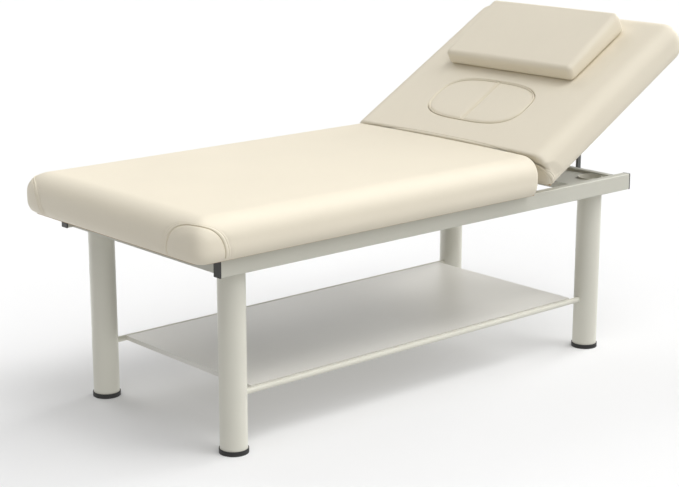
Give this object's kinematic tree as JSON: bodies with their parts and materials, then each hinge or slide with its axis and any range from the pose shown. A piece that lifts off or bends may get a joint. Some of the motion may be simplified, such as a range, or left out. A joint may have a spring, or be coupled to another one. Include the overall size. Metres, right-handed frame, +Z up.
{
  "type": "massage table with face opening",
  "caption": "Stationary padded treatment table with a raised hinged backrest, a face opening closed by half plugs, a wedge head cushion and a lower shelf.",
  "frame": {"origin": "on the floor, under the middle of the object's box with the backrest raised", "axes": "+X from the foot end to the head end, +Y to the left of someone lying face up, +Z up"},
  "size_m": [1.7726, 0.764, 0.9709],
  "materials": {
    "frame_enamel": "warm light grey powder coat, satin",
    "grey_steel": "dark grey powder coat",
    "zinc_steel": "zinc plated",
    "rubber_black": "moulded, matt",
    "end_cap_black": "moulded, satin",
    "shelf_laminate": "melamine faced board, warm grey",
    "plywood": "raw birch plywood",
    "cushion_foam": "polyurethane foam",
    "cream_vinyl": "cream upholstery vinyl, fine grain",
    "black_cloth": "non-woven dust cloth"
  },
  "bodies": {
    "frame": {"side_rail_left": "frame_enamel", "side_rail_right": "frame_enamel", "rail_end_caps": "end_cap_black", "foot_cross_rail": "frame_enamel", "middle_cross_rail": "frame_enamel", "head_cross_rail": "frame_enamel", "foot_end_plate": "frame_enamel", "head_end_plate": "frame_enamel", "leg_foot_left": "frame_enamel", "leg_foot_right": "frame_enamel", "leg_head_left": "frame_enamel", "leg_head_right": "frame_enamel", "rubber_foot_foot_left": "rubber_black", "rubber_foot_foot_right": "rubber_black", "rubber_foot_head_left": "rubber_black", "rubber_foot_head_right": "rubber_black", "shelf_rod_left": "frame_enamel", "shelf_rod_right": "frame_enamel", "shelf_bars": "frame_enamel", "shelf_panel": "shelf_laminate", "shelf_screws": "zinc_steel", "seat_tabs": "frame_enamel", "seat_bolts": "zinc_steel", "seat_board": "plywood", "seat_foam": "cushion_foam", "seat_cover": "cream_vinyl", "seat_dust_cover": "black_cloth", "hinge_fixed_straps": "grey_steel", "hinge_strap_bolts": "zinc_steel", "hinge_pins": "zinc_steel", "prop_lugs": "frame_enamel", "prop_pins": "zinc_steel"},
    "backrest": {"backrest_board": "plywood", "backrest_foam": "cushion_foam", "backrest_cover": "cream_vinyl", "backrest_dust_cover": "black_cloth", "hinge_moving_straps": "grey_steel", "hinge_strap_screws": "zinc_steel", "prop_rack_left": "grey_steel", "prop_rack_right": "grey_steel", "rack_screws": "zinc_steel"},
    "prop": {"prop_arm_left": "grey_steel", "prop_arm_right": "grey_steel", "prop_bar": "grey_steel"},
    "plug_left": {"plug_left_cover": "cream_vinyl", "plug_left_foam": "cushion_foam"},
    "plug_right": {"plug_right_cover": "cream_vinyl", "plug_right_foam": "cushion_foam"},
    "head_cushion": {"head_cushion_cover": "cream_vinyl", "head_cushion_foam": "cushion_foam"}
  },
  "joints": [
    {"name": "backrest_tilt", "type": "hinge", "parent": "frame", "child": "backrest", "pos_m": [0.26971, 0, 0.618], "axis": [0, -1, 0], "range_deg": [-30, 0]},
    {"name": "prop_fold", "type": "hinge", "parent": "frame", "child": "prop", "pos_m": [0.67071, 0, 0.5], "axis": [0, 1, 0], "range_deg": [0, 90]},
    {"name": "plug_left_lift", "type": "slide", "parent": "backrest", "child": "plug_left", "axis": [-0.5, 0, 0.866], "range_m": [0, 0.12]},
    {"name": "plug_right_lift", "type": "slide", "parent": "backrest", "child": "plug_right", "axis": [-0.5, 0, 0.866], "range_m": [0, 0.12]},
    {"name": "head_cushion_lift", "type": "slide", "parent": "backrest", "child": "head_cushion", "axis": [-0.5, 0, 0.866], "range_m": [0, 0.15]}
  ],
  "couplings": [
    {"joint": "prop_fold", "follows": "backrest_tilt", "ratio": -3}
  ]
}
